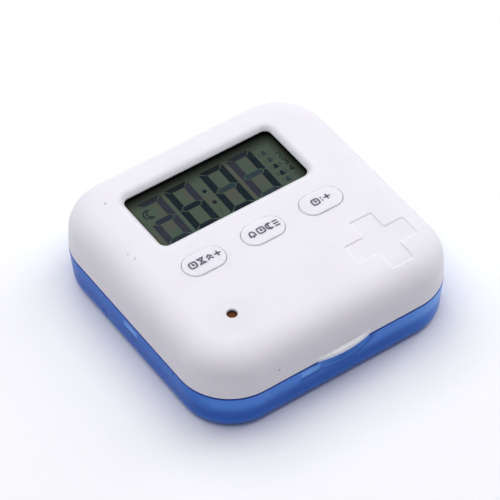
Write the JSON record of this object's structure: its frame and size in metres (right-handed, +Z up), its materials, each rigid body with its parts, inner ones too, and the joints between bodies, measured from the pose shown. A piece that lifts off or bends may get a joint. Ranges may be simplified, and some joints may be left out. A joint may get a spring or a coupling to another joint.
{
  "type": "pill box with alarm timer",
  "caption": "Pocket pill box with a divided translucent tray and a hinged lid that holds a dose alarm: segment display, push buttons, buzzer and a coin-cell bay.",
  "frame": {"origin": "centre of the tray's underside, on the surface the box stands on", "axes": "+Z up through the lid, +Y towards the rear hinge, -Y towards the thumb tab, +X to the right of a reader of the display"},
  "size_m": [0.082, 0.0843, 0.0259],
  "materials": {
    "white_shell": "fine satin texture",
    "button_white": "fine satin, dark printed legend",
    "inner_white": "plain moulded",
    "blue_tray": "translucent tinted, polished outside",
    "steel": "plated",
    "black_foam": "closed-cell foam",
    "display_film": "grey-green polarising film with dark segments",
    "display_glass": "clear float glass",
    "reflector_film": "pearly rear film",
    "connector_rubber": "layered silicone",
    "board_green": "solder mask over copper traces",
    "switch_black": "moulded",
    "epoxy_black": "cured epoxy drop",
    "chip_ceramic": "small components with tinned ends",
    "brass_sheet": "thin rolled sheet",
    "piezo_ceramic": "silvered ceramic",
    "lead_red": "insulated wire",
    "contact_plating": "nickel-plated spring strip",
    "cell_can": "nickel-plated cell"
  },
  "bodies": {
    "base": {"base_tray": "blue_tray", "hinge_pin": "steel"},
    "lid": {"lid_shell": "white_shell", "lcd_gasket": "black_foam", "lcd_polariser": "display_film", "lcd_glass": "display_glass", "lcd_reflector": "reflector_film", "lcd_frame": "inner_white", "zebra_strip": "connector_rubber", "circuit_board": "board_green", "switch_housings": "switch_black", "controller_blob": "epoxy_black", "timing_crystal": "steel", "board_parts": "chip_ceramic", "board_screws": "steel", "buzzer_disc": "brass_sheet", "buzzer_ceramic": "piezo_ceramic", "buzzer_leads": "lead_red", "lid_inner_cover": "inner_white", "cover_screws": "steel", "button_cells": "cell_can", "battery_contact_negative": "contact_plating", "battery_contact_positive": "contact_plating"},
    "hour_key": {"hour_button": "button_white", "hour_switch_stem": "switch_black"},
    "mode_key": {"mode_button": "button_white", "mode_switch_stem": "switch_black"},
    "minute_key": {"minute_button": "button_white", "minute_switch_stem": "switch_black"},
    "door": {"battery_door": "inner_white", "battery_bridge": "contact_plating"}
  },
  "joints": [
    {"name": "lid_hinge", "type": "hinge", "parent": "base", "child": "lid", "pos_m": [0, 0.0407, 0.0126], "axis": [-1, 0, 0], "range_deg": [0, 175]},
    {"name": "hour_press", "type": "slide", "parent": "lid", "child": "hour_key", "axis": [0, 0, -1], "range_m": [0, 0.0005], "stiffness_N_per_m": 2500},
    {"name": "mode_press", "type": "slide", "parent": "lid", "child": "mode_key", "axis": [0, 0, -1], "range_m": [0, 0.0005], "stiffness_N_per_m": 2500},
    {"name": "minute_press", "type": "slide", "parent": "lid", "child": "minute_key", "axis": [0, 0, -1], "range_m": [0, 0.0005], "stiffness_N_per_m": 2500},
    {"name": "battery_door_slide", "type": "slide", "parent": "lid", "child": "door", "axis": [0, -1, 0], "range_m": [0, 0.0045]}
  ]
}
